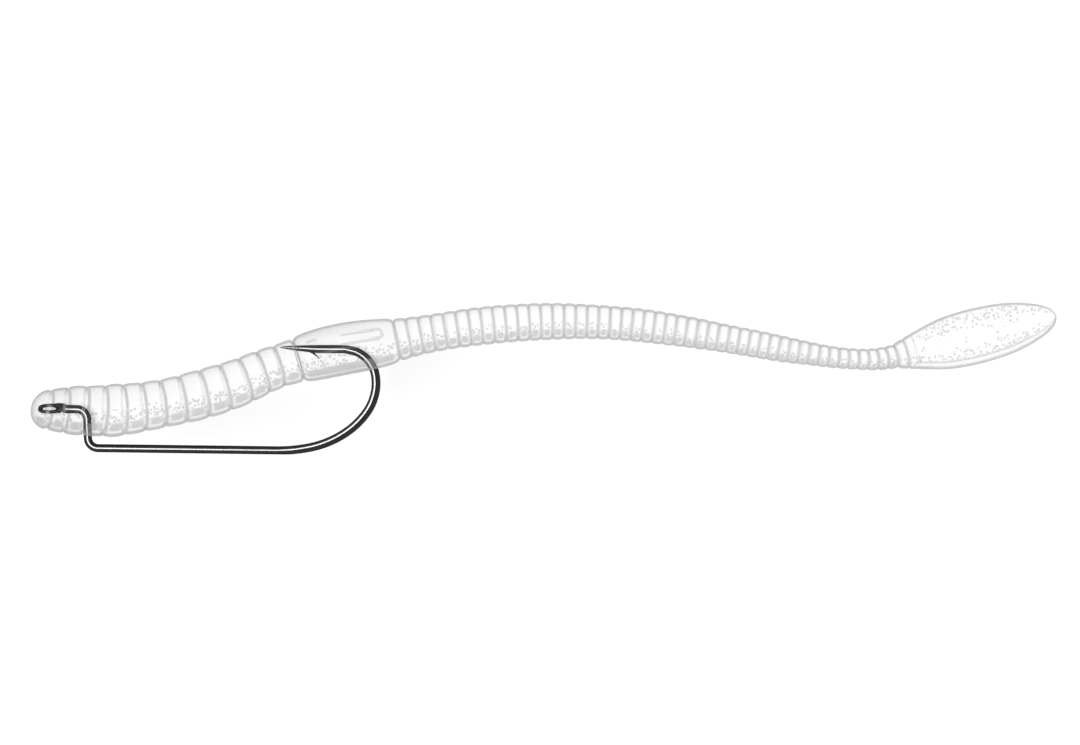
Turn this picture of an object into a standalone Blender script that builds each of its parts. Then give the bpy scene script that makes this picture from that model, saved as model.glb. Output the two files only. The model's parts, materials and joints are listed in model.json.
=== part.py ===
"""A ringed soft plastic worm rigged on an offset worm hook, lying on its side.

The worm lies along X with its nose at -X, its back towards +Y and its belly towards -Y.
The hook's wire lies in one level plane, HEAD_AXIS_Z above the table.
The worm is divided at its moulded grooves into sections that turn on each other.
Lengths below are in millimetres and become metres where meshes are made.
"""

import math

import bmesh
import bpy
import numpy as np
from mathutils import Matrix, Vector

MM = 0.001
GAP = 0.3

# The worm's centre line seen from above, as (x, y) from the nose tip to the paddle's tip.
CENTRE_LINE = (
    (-87.45, -5.1), (-79.7, -5.4), (-73.2, -5.4), (-66.5, -4.5), (-60.0, -3.1),
    (-52.7, -0.9), (-46.7, 1.6), (-42.0, 3.15), (-34.5, 5.0), (-27.7, 6.1),
    (-20.4, 7.5), (-12.9, 8.7), (-5.2, 9.45), (5.1, 9.75), (14.5, 9.25),
    (23.0, 8.15), (34.9, 6.1), (43.4, 4.55), (51.9, 3.4), (56.4, 3.3),
    (60.4, 3.9), (73.2, 7.1), (87.45, 10.7),
)
LINE_SAMPLES = 1500
TANGENT_STEP = 1.5

# Radius over the ring crests, as (distance from the nose tip along the centre line, radius).
CREST_RADIUS = (
    (3.4, 3.6), (5.0, 3.85), (8.0, 4.3), (11.0, 4.4), (14.5, 4.6), (17.9, 4.4), (24.0, 4.2),
    (28.0, 4.3), (32.0, 4.3), (36.0, 4.15), (39.0, 4.0), (44.5, 3.8), (50.5, 4.35),
    (54.5, 4.45), (61.0, 4.15), (65.0, 3.65), (81.0, 3.35), (90.0, 3.25), (98.5, 3.02),
    (107.0, 2.95), (113.0, 2.8), (120.0, 2.55), (129.0, 2.4), (137.5, 2.0), (143.0, 1.9),
    (150.0, 2.15),
)

# The nose cap's outline, as (distance behind the tip, radius).
NOSE_PROFILE = ((0.0, 0.0), (0.15, 1.2), (0.45, 1.85), (0.95, 2.45), (1.65, 2.95), (2.5, 3.25))
NOSE_LENGTH = 3.45
NOSE_SHOULDER = 0.5
HEAD_RING_LENGTHS = (3.0, 3.3, 3.2, 3.3, 3.3, 3.3, 3.4, 3.8, 3.7, 3.7, 3.2, 2.8, 3.3)
SADDLE_LENGTH = 17.15
SADDLE_END_RADII = (3.1, 3.2)
SADDLE_SHOULDER = 0.5
SADDLE_SHOULDER_RISE = (0.5, 0.35)
SADDLE_ENDS_SWELL_OVER = 1.5
SADDLE_SECTIONS = 7
TAIL_RING_COUNT = 46
TAIL_RING_FIRST = 2.12
TAIL_RING_LAST = 1.61
HEAD_GROOVE_DEPTH = 0.38
TAIL_GROOVE_DEPTH = 0.26
SHOULDER = 0.2

# The paddle's half width, as (distance behind the last ring, half width).
PADDLE_HALF_WIDTH = (
    (0.0, 2.2), (2.15, 2.9), (5.4, 3.8), (8.6, 4.55), (12.8, 4.95), (16.8, 4.9),
    (20.7, 4.5), (24.6, 3.5), (27.3, 2.3), (28.5, 1.3), (28.98, 0.5),
)
PADDLE_STATIONS = (1.1, 2.4, 4.0, 6.0, 8.6, 12.8, 16.8, 20.7, 24.6, 26.6, 28.0, 28.7, 28.98)
PADDLE_SIDES = 16
PADDLE_THICKNESS = 1.8
PADDLE_TIP_THICKNESS = 2.2
PADDLE_FLANK = 1.3
PADDLE_ROUNDING = 0.35
PADDLE_RIM = 0.3
PADDLE_SQUARENESS = 0.35
PADDLE_FULLNESS = 0.25
PADDLE_FLATTENS_OVER = 7.0

# The head lies with its axis at one height, and the tail's axis lowers as the tail thins.
HEAD_AXIS_Z = 4.62
AXIS_LOWERS_FROM = 59.0
AXIS_LOWERS_TO = 82.0
TABLE_CLEARANCE = 0.03

# A section that turns has a round end of this many times its groove radius.
HEAD_DOME = 1.4
TAIL_DOME = 1.15
DOME_STEPS = 3
HEAD_SIDES = 20
TAIL_SIDES = 12
SMOOTH_UNDER = math.radians(50)

# The head rings behind which the two head joints lie, and the tail's pairs to a body.
HOOK_SET_RING = 3
HEAD_FLEX_RING = 8
PAIRS_PER_BODY = 2
TAIL_BODY_COUNT = TAIL_RING_COUNT // 2 // PAIRS_PER_BODY

WIRE_RADIUS = 0.625
FORGED_RADIUS = 0.71
WIRE_SIDES_RESOLUTION = 3
EYE_WIRE_RADIUS = 0.38
EYE_LOOP_RADIUS = 1.58
EYE_CENTRE = (-84.15, -5.1)
EYE_TILT = math.radians(17)
EYE_ENDS_AT = (-20, -325)
EYE_POINTS = 20
NECK_Y = -5.17
# The neck thickens behind the eye, as (distance behind the loop, wire radius).
NECK_TAPER = ((0.55, 0.46), (1.3, 0.56))
LEG_X = -77.74
OFFSET_BEND_RADIUS = 1.45
OFFSET_BEND_POINTS = 6
SHANK_FRONT_Y = -12.0
# The round bend and the straight arm above it, from the shank's end to the point's start.
HOOK_BEND = (
    (-43.3, -12.31), (-38.5, -11.65), (-34.9, -9.95), (-31.9, -7.3), (-29.5, -4.0),
    (-28.65, -0.7), (-29.15, 1.5), (-30.3, 3.25), (-31.9, 4.5), (-34.0, 5.03),
)
HOOK_BEND_POINTS = 22
POINT_START_X = -38.3
POINT_START_RADIUS = 0.65
POINT_TIP = (-45.05, 5.33)
POINT_TIP_RADIUS = 0.03
POINT_SHARES = (0.15, 0.4, 0.7, 0.9, 1.0)
BARB_BASE = (-39.3, 4.95)
BARB_TIP = (-38.25, 3.4)
BARB_RADII = (0.42, 0.04)
BARB_SIDES = 8

# What the hook passes through in the plastic.
EYE_POCKET_SIDES = 24
LINE_HOLE_RADIUS = 0.5
LINE_HOLE_LENGTH = 3.2
LINE_HOLE_SIDES = 10
CHANNEL_SIDES_RESOLUTION = 4
CHANNEL_OVERLAP = 0.4
CHANNEL_LAST_RING = 3
SLIT_FIRST_RING = 12
# The slit that the hook's arm and point lie in, seen from above.
SLIT_OUTLINE = (
    (-27.6, -2.0), (-27.9, 1.0), (-28.4, 3.0), (-28.5, 6.5), (-29.2, 8.5), (-30.0, 12.0),
    (-46.0, 12.0), (-45.9, 4.7), (-40.5, 4.0), (-38.9, 2.8), (-37.6, 2.8), (-37.0, 3.85),
    (-32.8, 3.75), (-31.6, 2.6), (-31.9, 0.8), (-33.2, -2.0),
)


def smooth_through(stations, sample):
    """Values of a smooth curve through stations whose first number is the position."""
    rows = np.array(stations, dtype=float)
    at, values = rows[:, 0], rows[:, 1:]
    slopes = np.gradient(values, at, axis=0)
    sample = np.clip(np.atleast_1d(np.asarray(sample, dtype=float)), at[0], at[-1])
    left = np.clip(np.searchsorted(at, sample, side="right") - 1, 0, len(at) - 2)
    width = (at[left + 1] - at[left])[:, None]
    t = ((sample - at[left]) / (at[left + 1] - at[left]))[:, None]
    start = (1 + 2 * t) * (1 - t) ** 2 * values[left]
    start_slope = t * (1 - t) ** 2 * width * slopes[left]
    end = t**2 * (3 - 2 * t) * values[left + 1]
    end_slope = t**2 * (t - 1) * width * slopes[left + 1]
    return start + start_slope + end + end_slope


def lengths_along(points):
    """Distance of each point from the first, along the line through them all."""
    steps = np.linalg.norm(np.diff(points, axis=0), axis=1)
    return np.concatenate(([0.0], np.cumsum(steps)))


def smooth_path(points, count):
    """Evenly parted points on a smooth curve through the given ones."""
    points = np.array(points, dtype=float)
    chord = lengths_along(points)
    stations = np.column_stack((chord, points))
    fine = smooth_through(stations, np.linspace(0, chord[-1], 40 * count))
    length = lengths_along(fine)
    even = np.linspace(0, length[-1], count)
    return np.column_stack([np.interp(even, length, axis) for axis in fine.T])


LINE_POINTS = smooth_path(CENTRE_LINE, LINE_SAMPLES)
LINE_DISTANCES = lengths_along(LINE_POINTS)


def eased(share):
    """A share held from 0 to 1, with a smooth start and finish."""
    t = min(max(share, 0), 1)
    return t * t * (3 - 2 * t)


def crest_radius(distance):
    """Radius over the ring crests at a distance from the nose tip."""
    return float(smooth_through(CREST_RADIUS, distance)[0, 0])


def centre(distance):
    """The centre line's point at a distance from the nose tip."""
    x, y = (float(np.interp(distance, LINE_DISTANCES, axis)) for axis in LINE_POINTS.T)
    lowered = eased((distance - AXIS_LOWERS_FROM) / (AXIS_LOWERS_TO - AXIS_LOWERS_FROM))
    resting = crest_radius(distance) + TABLE_CLEARANCE
    z = HEAD_AXIS_Z + lowered * (resting - HEAD_AXIS_Z)
    return Vector((x, y, z))


def in_hook_plane(x, y):
    return Vector((x, y, HEAD_AXIS_Z))


def ring_spans(start, lengths):
    edges = start + np.concatenate(([0.0], np.cumsum(lengths)))
    return [(float(a), float(b)) for a, b in zip(edges, edges[1:])]


HEAD_RINGS = ring_spans(NOSE_LENGTH, HEAD_RING_LENGTHS)
SADDLE_START = HEAD_RINGS[-1][1]
SADDLE_FINISH = SADDLE_START + SADDLE_LENGTH
TAIL_RING_LENGTHS = np.linspace(TAIL_RING_FIRST, TAIL_RING_LAST, TAIL_RING_COUNT)
TAIL_RINGS = ring_spans(SADDLE_FINISH, TAIL_RING_LENGTHS)
TAIL_FINISH = TAIL_RINGS[-1][1]


def groove_radius(distance, depth):
    """Radius at a groove: the crest there less the groove's depth."""
    if abs(distance - SADDLE_START) < GAP:
        return SADDLE_END_RADII[0]
    if abs(distance - SADDLE_FINISH) < GAP:
        return SADDLE_END_RADII[1]
    return crest_radius(distance) - depth


def frame_along(direction, origin):
    """A placement whose Z looks back along the direction and whose X looks up."""
    back = -direction.normalized()
    up = Vector((0, 0, 1))
    across = (up - up.dot(back) * back).normalized()
    side = back.cross(across)
    placed = Matrix((across, side, back)).transposed().to_4x4()
    placed.translation = origin * MM
    return placed


def make_material(name, colour, roughness, metallic):
    material = bpy.data.materials.new(name)
    material.use_nodes = True
    shader = material.node_tree.nodes["Principled BSDF"]
    shader.inputs["Base Color"].default_value = (*colour, 1.0)
    shader.inputs["Roughness"].default_value = roughness
    shader.inputs["Metallic"].default_value = metallic
    return material


def add_object(name, mesh, collection, material=None):
    placed = bpy.data.objects.new(name, mesh)
    collection.objects.link(placed)
    if material:
        mesh.materials.append(material)
    return placed


def add_shape(name, shape, collection, material=None):
    """An object from a bmesh, which is freed."""
    mesh = bpy.data.meshes.new(name)
    shape.to_mesh(mesh)
    shape.free()
    return add_object(name, mesh, collection, material)


def cutter(placed):
    placed.hide_render = True
    placed.display_type = "WIRE"
    return placed


def cut(section, form):
    boolean = section.modifiers.new("cut_" + form.name, "BOOLEAN")
    boolean.operation = "DIFFERENCE"
    boolean.object = form


def turned(name, profile, place, sides, collection, material):
    """A solid turned from (radius, distance behind the place) points, front to rear."""
    mesh = bpy.data.meshes.new(name)
    corners = [(radius * MM, 0.0, -behind * MM) for radius, behind in profile]
    mesh.from_pydata(corners, [(i, i + 1) for i in range(len(corners) - 1)], [])
    section = add_object(name, mesh, collection, material)
    section.matrix_world = place
    screw = section.modifiers.new("turn", "SCREW")
    screw.axis = "Z"
    screw.steps = sides
    screw.render_steps = sides
    screw.use_merge_vertices = True
    screw.merge_threshold = 0.00001
    return section


def lofted(name, sections, collection, material):
    """A closed solid over sections of equally many points, capped at both ends."""
    shape = bmesh.new()
    rows = [[shape.verts.new(point * MM) for point in section] for section in sections]
    for row, following in zip(rows, rows[1:]):
        for i in range(len(row)):
            j = (i + 1) % len(row)
            shape.faces.new((row[i], row[j], following[j], following[i]))
    shape.faces.new(reversed(rows[0]))
    shape.faces.new(rows[-1])
    bmesh.ops.recalc_face_normals(shape, faces=shape.faces)
    return add_shape(name, shape, collection, material)


def circle_at(middle, direction, radius, sides):
    place = frame_along(direction, middle)
    turns = [2 * math.pi * i / sides for i in range(sides)]
    up, side = place.col[0].xyz, place.col[1].xyz
    return [middle + radius * (math.cos(a) * up + math.sin(a) * side) for a in turns]


def flat_end(groove, position):
    return [(0.0, position), (groove, position)]


def hinge_distance_back(groove, dome):
    """How far in front of a round end's groove its hinge centre lies."""
    return groove * math.sqrt(dome**2 - 1)


def round_end(groove, position, dome, clearance):
    """A spherical end about the hinge centre, from the axis out to the groove."""
    radius = groove * dome + clearance
    widest = math.asin(groove / radius)
    angles = [widest * step / DOME_STEPS for step in range(DOME_STEPS + 1)]
    hinge = position - hinge_distance_back(groove, dome)
    return [(radius * math.sin(a), hinge + radius * math.cos(a)) for a in angles]


def ring_outline(rings, grooves, start):
    """The outside of rings that run on from each other: quick shoulders and flat crests."""
    points = []
    for (front, rear), groove in zip(rings, grooves):
        shoulder = SHOULDER * (rear - front)
        crest = crest_radius((front + rear) / 2)
        points.append((crest, front + shoulder - start))
        points.append((crest, rear - shoulder - start))
        points.append((groove, rear - start))
    return points[:-1]


def section_of_rings(name, rings, depth, dome, ends, sides, collection, material):
    """One node of the worm: its rings, with a flat or a round end at the front and the rear."""
    start, finish = rings[0][0], rings[-1][1]
    front_end, rear_end = ends
    grooves = [groove_radius(rear, depth) for _, rear in rings]
    first = groove_radius(start, depth)
    length = (centre(finish) - centre(start)).length
    if front_end == "socket":
        profile = round_end(first, 0.0, dome, GAP)
    else:
        profile = flat_end(first, GAP / 2)
    profile += ring_outline(rings, grooves, start)
    if rear_end == "dome":
        profile += reversed(round_end(grooves[-1], length, dome, 0.0))
    else:
        profile += reversed(flat_end(grooves[-1], length - GAP / 2))
    place = frame_along(centre(finish) - centre(start), centre(start))
    return turned(name, profile, place, sides, collection, material)


def make_nose(collection, material):
    groove = groove_radius(NOSE_LENGTH, HEAD_GROOVE_DEPTH)
    profile = [(radius, behind) for behind, radius in NOSE_PROFILE]
    profile.append((groove + TABLE_CLEARANCE, NOSE_LENGTH - NOSE_SHOULDER))
    profile += reversed(flat_end(groove, NOSE_LENGTH - GAP / 2))
    place = frame_along(centre(NOSE_LENGTH) - centre(0), centre(0))
    return turned("nose", profile, place, HEAD_SIDES, collection, material)


def make_saddle(collection, material):
    """The smooth swollen part, with a round end that the first tail section turns on."""
    front, rear = SADDLE_END_RADII
    front_rise, rear_rise = SADDLE_SHOULDER_RISE
    swollen = np.linspace(
        SADDLE_START + SADDLE_ENDS_SWELL_OVER,
        SADDLE_FINISH - SADDLE_ENDS_SWELL_OVER,
        SADDLE_SECTIONS,
    )
    stations = [(SADDLE_START + GAP / 2, front)]
    stations.append((SADDLE_START + SADDLE_SHOULDER, front + front_rise))
    stations += [(distance, crest_radius(distance)) for distance in swollen]
    stations.append((SADDLE_FINISH - SADDLE_SHOULDER, rear + rear_rise))
    sections = []
    for distance, radius in stations:
        direction = centre(distance + GAP) - centre(distance - GAP)
        sections.append(circle_at(centre(distance), direction, radius, HEAD_SIDES))
    end = centre(SADDLE_FINISH)
    direction = (end - centre(SADDLE_FINISH - TANGENT_STEP)).normalized()
    for radius, ahead in reversed(round_end(rear, 0.0, TAIL_DOME, 0.0)[1:]):
        sections.append(circle_at(end + ahead * direction, direction, radius, HEAD_SIDES))
    return lofted("saddle", sections, collection, material)


def signed_power(value, power):
    return math.copysign(abs(value) ** power, value)


def paddle_section(along, start, direction):
    """One cross-section of the paddle: round at its root, flat beyond, with a sloping flank."""
    half_width = float(smooth_through(PADDLE_HALF_WIDTH, along)[0, 0])
    root_height = 2 * crest_radius(TAIL_FINISH) - GAP
    flat = eased(along / PADDLE_FLATTENS_OVER)
    height = root_height + flat * (PADDLE_THICKNESS - root_height)
    height = min(height, PADDLE_TIP_THICKNESS * half_width)
    across = Vector((-direction.y, direction.x, 0))
    power = 1 - PADDLE_SQUARENESS * flat
    points = []
    for i in range(PADDLE_SIDES):
        turn = 2 * math.pi * (i + 0.5) / PADDLE_SIDES
        sideways = signed_power(math.cos(turn), power)
        upward = signed_power(math.sin(turn), power)
        raised = min(max((1 + (1 + PADDLE_FULLNESS * flat) * upward) / 2, 0), 1)
        slope = PADDLE_FLANK if sideways < 0 else PADDLE_ROUNDING
        inset = slope * flat * max(raised - PADDLE_RIM, 0) / (1 - PADDLE_RIM)
        reach = sideways * max(half_width - inset, half_width / 4)
        points.append(start + along * direction + reach * across + Vector((0, 0, raised * height)))
    return points


def make_paddle(collection, material):
    """The flat tail: its underside lies on the table."""
    start = centre(TAIL_FINISH)
    start.z = 0
    along_table = Vector((*LINE_POINTS[-1], 0)) - start
    direction = along_table / PADDLE_HALF_WIDTH[-1][0]
    sections = [paddle_section(at, start, direction) for at in (GAP / 2, *PADDLE_STATIONS)]
    return lofted("paddle_tail", sections, collection, material)


def wire_mesh_object(name, route, sides_resolution, collection, material=None):
    """A round wire along (point, radius) places, from a curve with filled caps, as a mesh."""
    curve = bpy.data.curves.new(name, "CURVE")
    curve.dimensions = "3D"
    curve.bevel_depth = MM
    curve.bevel_resolution = sides_resolution
    curve.use_fill_caps = True
    spline = curve.splines.new("POLY")
    spline.points.add(len(route) - 1)
    for point, (place, radius) in zip(spline.points, route):
        point.co = (*(place * MM), 1.0)
        point.radius = radius
    holder = bpy.data.objects.new(name + "_curve", curve)
    collection.objects.link(holder)
    bpy.context.view_layer.update()
    evaluated = holder.evaluated_get(bpy.context.evaluated_depsgraph_get())
    mesh = bpy.data.meshes.new_from_object(evaluated)
    shape = bmesh.new()
    shape.from_mesh(mesh)
    bpy.data.meshes.remove(mesh)
    bmesh.ops.remove_doubles(shape, verts=shape.verts, dist=0.000001)
    bmesh.ops.recalc_face_normals(shape, faces=shape.faces)
    wire = add_shape(name, shape, collection, material)
    wire.matrix_world = holder.matrix_world
    bpy.data.objects.remove(holder)
    return wire


def arc(middle, radius, start, finish, count):
    """Points on an arc seen from above, angles in degrees."""
    x, y = middle
    angles = np.radians(np.linspace(start, finish, count))
    return [(x + radius * math.cos(a), y + radius * math.sin(a)) for a in angles]


def offset_bends():
    """The two tight bends that the straight leg joins, the neck's and the shank's."""
    reach = OFFSET_BEND_RADIUS
    upper = arc((LEG_X - reach, NECK_Y - reach), reach, 90, 0, OFFSET_BEND_POINTS)
    lower = arc((LEG_X + reach, SHANK_FRONT_Y + reach), reach, 180, 270, OFFSET_BEND_POINTS)
    return upper, lower


def eye_points():
    """The eye's wire, from its cut end round to the neck."""
    middle = in_hook_plane(*EYE_CENTRE)
    points = []
    for turn in np.radians(np.linspace(*EYE_ENDS_AT, EYE_POINTS)):
        x = EYE_LOOP_RADIUS * math.cos(turn)
        lift = EYE_LOOP_RADIUS * math.sin(turn)
        y, z = lift * math.sin(EYE_TILT), -lift * math.cos(EYE_TILT)
        points.append(middle + Vector((x, y, z)))
    return points


def forged_bend():
    """The round bend, which is forged thicker towards its middle."""
    bend = smooth_path(HOOK_BEND, HOOK_BEND_POINTS)
    shares = np.linspace(0, 1, len(bend))
    forged = np.sqrt(np.abs(np.sin(math.pi * shares)))
    radii = WIRE_RADIUS + forged * (FORGED_RADIUS - WIRE_RADIUS)
    return [(x, y, radius) for (x, y), radius in zip(bend, radii)]


def point_of_hook():
    """The ground point, from where the arm's full thickness ends."""
    arm_y = HOOK_BEND[-1][1]
    point = [(POINT_START_X, arm_y, POINT_START_RADIUS)]
    for t in POINT_SHARES:
        x = POINT_START_X + t * (POINT_TIP[0] - POINT_START_X)
        y = arm_y + t * (POINT_TIP[1] - arm_y)
        point.append((x, y, POINT_START_RADIUS * (1 - t) ** 0.8 + POINT_TIP_RADIUS))
    return point


def hook_route():
    """Every point of the hook's wire with its radius, from the eye's end to the point's tip."""
    loop_end = EYE_CENTRE[0] + EYE_LOOP_RADIUS
    level = [(loop_end + behind, NECK_Y, radius) for behind, radius in NECK_TAPER]
    upper, lower = offset_bends()
    level += [(x, y, WIRE_RADIUS) for x, y in (*upper, *lower)]
    level += forged_bend() + point_of_hook()
    route = [(point, EYE_WIRE_RADIUS) for point in eye_points()]
    return route + [(in_hook_plane(x, y), radius) for x, y, radius in level]


def make_cone(name, middle, axis, radii, depth, sides, collection):
    """A cone or cylinder about an axis, to cut with or to join."""
    shape = bmesh.new()
    bmesh.ops.create_cone(
        shape, cap_ends=True, segments=sides, radius1=radii[0] * MM, radius2=radii[1] * MM,
        depth=depth * MM,
    )
    form = add_shape(name, shape, collection)
    turn = axis.to_track_quat("Z", "Y").to_matrix().to_4x4()
    form.matrix_world = Matrix.Translation(middle * MM) @ turn
    return cutter(form)


def make_hook(parts, cutters, material):
    """The hook: one wire with its barb."""
    base, tip = in_hook_plane(*BARB_BASE), in_hook_plane(*BARB_TIP)
    along = tip - base
    middle = (base + tip) / 2
    barb = make_cone("barb_form", middle, along, BARB_RADII, along.length, BARB_SIDES, cutters)
    hook = wire_mesh_object("hook", hook_route(), WIRE_SIDES_RESOLUTION, parts, material)
    boolean = hook.modifiers.new("join_barb", "BOOLEAN")
    boolean.operation = "UNION"
    boolean.object = barb
    return hook


def make_eye_pocket(collection):
    """What the hook's eye takes up in the nose, with clearance."""
    normal = Vector((0, math.cos(EYE_TILT), math.sin(EYE_TILT)))
    radius = EYE_LOOP_RADIUS + EYE_WIRE_RADIUS + GAP
    depth = 2 * (EYE_WIRE_RADIUS + GAP)
    middle = in_hook_plane(*EYE_CENTRE)
    radii = (radius, radius)
    return make_cone("eye_pocket", middle, normal, radii, depth, EYE_POCKET_SIDES, collection)


def make_line_hole(collection):
    """The hole in the nose that the fishing line comes out of."""
    middle = in_hook_plane(EYE_CENTRE[0] - LINE_HOLE_LENGTH, NECK_Y)
    radii = (LINE_HOLE_RADIUS, LINE_HOLE_RADIUS)
    forward = Vector((1, 0, 0))
    return make_cone(
        "line_hole", middle, forward, radii, LINE_HOLE_LENGTH, LINE_HOLE_SIDES, collection
    )


def make_wire_channel(collection):
    """What the hook's neck and offset leg take up in the head, with clearance."""
    upper, _ = offset_bends()
    neck_x = EYE_CENTRE[0] + EYE_LOOP_RADIUS - CHANNEL_OVERLAP
    places = [(neck_x, NECK_Y), *upper, (LEG_X, SHANK_FRONT_Y)]
    route = [(in_hook_plane(x, y), WIRE_RADIUS + GAP) for x, y in places]
    return cutter(wire_mesh_object("wire_channel", route, CHANNEL_SIDES_RESOLUTION, collection))


def make_slit(collection):
    """A flat prism as thick as the forged wire, with clearance on both faces."""
    half = FORGED_RADIUS + GAP
    below = Vector((0, 0, half))
    shape = bmesh.new()
    low = [shape.verts.new((in_hook_plane(x, y) - below) * MM) for x, y in SLIT_OUTLINE]
    floor = shape.faces.new(low)
    raised = bmesh.ops.extrude_face_region(shape, geom=[floor])["geom"]
    moved = [item for item in raised if isinstance(item, bmesh.types.BMVert)]
    bmesh.ops.translate(shape, verts=moved, vec=2 * below * MM)
    bmesh.ops.recalc_face_normals(shape, faces=shape.faces)
    return cutter(add_shape("hook_slit", shape, collection))


def joint_place(distance, depth, dome):
    """The hinge centre of a joint at a groove, on the axis of the section in front of it."""
    direction = (centre(distance) - centre(distance - TANGENT_STEP)).normalized()
    back = hinge_distance_back(groove_radius(distance, depth), dome)
    return centre(distance) - back * direction


def add_body(name, place, parent, collection):
    """An empty at the body's hinge centre, carried by the body in front."""
    body = bpy.data.objects.new(name, None)
    body.empty_display_size = 2 * MM
    collection.objects.link(body)
    body.location = place * MM
    if parent:
        body.parent = parent
        body.location = (place * MM) - parent.matrix_world.translation
    bpy.context.view_layer.update()
    return body


def carry(section, body):
    """Parent a section to its body and leave it where it is."""
    bpy.context.view_layer.update()
    world = section.matrix_world.copy()
    section.parent = body
    section.matrix_parent_inverse = body.matrix_world.inverted()
    section.matrix_world = world


def tail_body_name(number):
    return "paddle" if number > TAIL_BODY_COUNT else f"tail_{number:02d}"


def make_bodies(parts):
    """The empties that the sections turn with, each on its joint's axis."""
    places = {
        "root": Vector((0, 0, 0)),
        "head_front": joint_place(HEAD_RINGS[HOOK_SET_RING][0], HEAD_GROOVE_DEPTH, HEAD_DOME),
        "head_rear": joint_place(HEAD_RINGS[HEAD_FLEX_RING][0], HEAD_GROOVE_DEPTH, HEAD_DOME),
    }
    for number in range(1, TAIL_BODY_COUNT + 2):
        edge = TAIL_RINGS[(number - 1) * 2 * PAIRS_PER_BODY][0]
        places[tail_body_name(number)] = joint_place(edge, TAIL_GROOVE_DEPTH, TAIL_DOME)
    bodies, parent = {}, None
    for name, place in places.items():
        parent = add_body(name, place, parent, parts)
        bodies[name] = parent
    return bodies


def head_body_name(number):
    if number <= HOOK_SET_RING:
        return "root"
    return "head_front" if number <= HEAD_FLEX_RING else "head_rear"


def make_head(parts, cutters, soft, bodies):
    """Nose, head rings and saddle, with the hook's passages cut in them."""
    pocket, channel, slit = make_eye_pocket(cutters), make_wire_channel(cutters), make_slit(cutters)
    nose = make_nose(parts, soft)
    cut(nose, pocket)
    cut(nose, make_line_hole(cutters))
    carry(nose, bodies["root"])
    joint_rings = (HOOK_SET_RING, HEAD_FLEX_RING)
    for number, span in enumerate(HEAD_RINGS, start=1):
        front = "socket" if number - 1 in joint_rings else "flat"
        rear = "dome" if number in joint_rings else "flat"
        name = f"head_ring_{number:02d}"
        ring = section_of_rings(
            name, [span], HEAD_GROOVE_DEPTH, HEAD_DOME, (front, rear), HEAD_SIDES, parts, soft
        )
        if number == 1:
            cut(ring, pocket)
        if number <= CHANNEL_LAST_RING:
            cut(ring, channel)
        if number >= SLIT_FIRST_RING:
            cut(ring, slit)
        carry(ring, bodies[head_body_name(number)])
    saddle = make_saddle(parts, soft)
    cut(saddle, slit)
    carry(saddle, bodies["head_rear"])


def make_tail(parts, soft, bodies):
    """Tail rings in pairs, two pairs to a body, and the paddle."""
    pairs = [TAIL_RINGS[i:i + 2] for i in range(0, TAIL_RING_COUNT, 2)]
    for index, pair in enumerate(pairs):
        place_in_body = index % PAIRS_PER_BODY
        front = "socket" if place_in_body == 0 else "flat"
        rear = "dome" if place_in_body == PAIRS_PER_BODY - 1 else "flat"
        name = f"tail_rings_{2 * index + 1:02d}_{2 * index + 2:02d}"
        section = section_of_rings(
            name, pair, TAIL_GROOVE_DEPTH, TAIL_DOME, (front, rear), TAIL_SIDES, parts, soft
        )
        carry(section, bodies[tail_body_name(index // PAIRS_PER_BODY + 1)])
    carry(make_paddle(parts, soft), bodies["paddle"])


def shade(parts):
    for placed in parts.objects:
        if placed.type == "MESH":
            placed.data.shade_smooth()
            placed.data.set_sharp_from_angle(angle=SMOOTH_UNDER)


def build():
    for existing in list(bpy.data.objects):
        bpy.data.objects.remove(existing)
    parts = bpy.data.collections.new("soft_plastic_worm")
    cutters = bpy.data.collections.new("cutters")
    bpy.context.scene.collection.children.link(parts)
    bpy.context.scene.collection.children.link(cutters)
    soft = make_material("soft_plastic", (0.80, 0.79, 0.75), 0.35, 0.0)
    black_nickel = make_material("black_nickel_wire", (0.02, 0.02, 0.022), 0.2, 1.0)
    bodies = make_bodies(parts)
    carry(make_hook(parts, cutters, black_nickel), bodies["root"])
    make_head(parts, cutters, soft, bodies)
    make_tail(parts, soft, bodies)
    shade(parts)


build()
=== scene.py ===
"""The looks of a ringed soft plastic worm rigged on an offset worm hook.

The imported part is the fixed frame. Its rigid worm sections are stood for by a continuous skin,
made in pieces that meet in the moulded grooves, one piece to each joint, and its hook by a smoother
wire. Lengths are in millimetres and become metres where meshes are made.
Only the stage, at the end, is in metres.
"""

import json
import math

import bmesh
import bpy
import numpy as np
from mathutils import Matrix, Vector


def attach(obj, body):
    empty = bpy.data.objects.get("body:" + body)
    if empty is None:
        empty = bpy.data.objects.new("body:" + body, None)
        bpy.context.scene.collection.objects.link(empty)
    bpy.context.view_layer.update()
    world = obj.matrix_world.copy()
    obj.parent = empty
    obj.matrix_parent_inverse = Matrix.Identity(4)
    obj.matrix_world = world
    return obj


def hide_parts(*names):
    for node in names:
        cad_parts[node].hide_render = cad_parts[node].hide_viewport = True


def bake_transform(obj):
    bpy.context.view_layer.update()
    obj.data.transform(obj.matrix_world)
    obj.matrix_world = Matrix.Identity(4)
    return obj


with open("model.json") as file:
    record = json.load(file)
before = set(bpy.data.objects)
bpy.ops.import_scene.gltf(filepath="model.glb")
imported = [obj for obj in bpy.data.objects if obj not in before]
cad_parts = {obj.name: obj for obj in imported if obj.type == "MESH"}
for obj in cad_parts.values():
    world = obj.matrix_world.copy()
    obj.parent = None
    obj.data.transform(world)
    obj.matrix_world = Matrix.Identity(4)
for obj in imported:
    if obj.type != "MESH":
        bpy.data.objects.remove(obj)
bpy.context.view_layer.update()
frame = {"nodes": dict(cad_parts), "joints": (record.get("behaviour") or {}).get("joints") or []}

MM = 0.001

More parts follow.
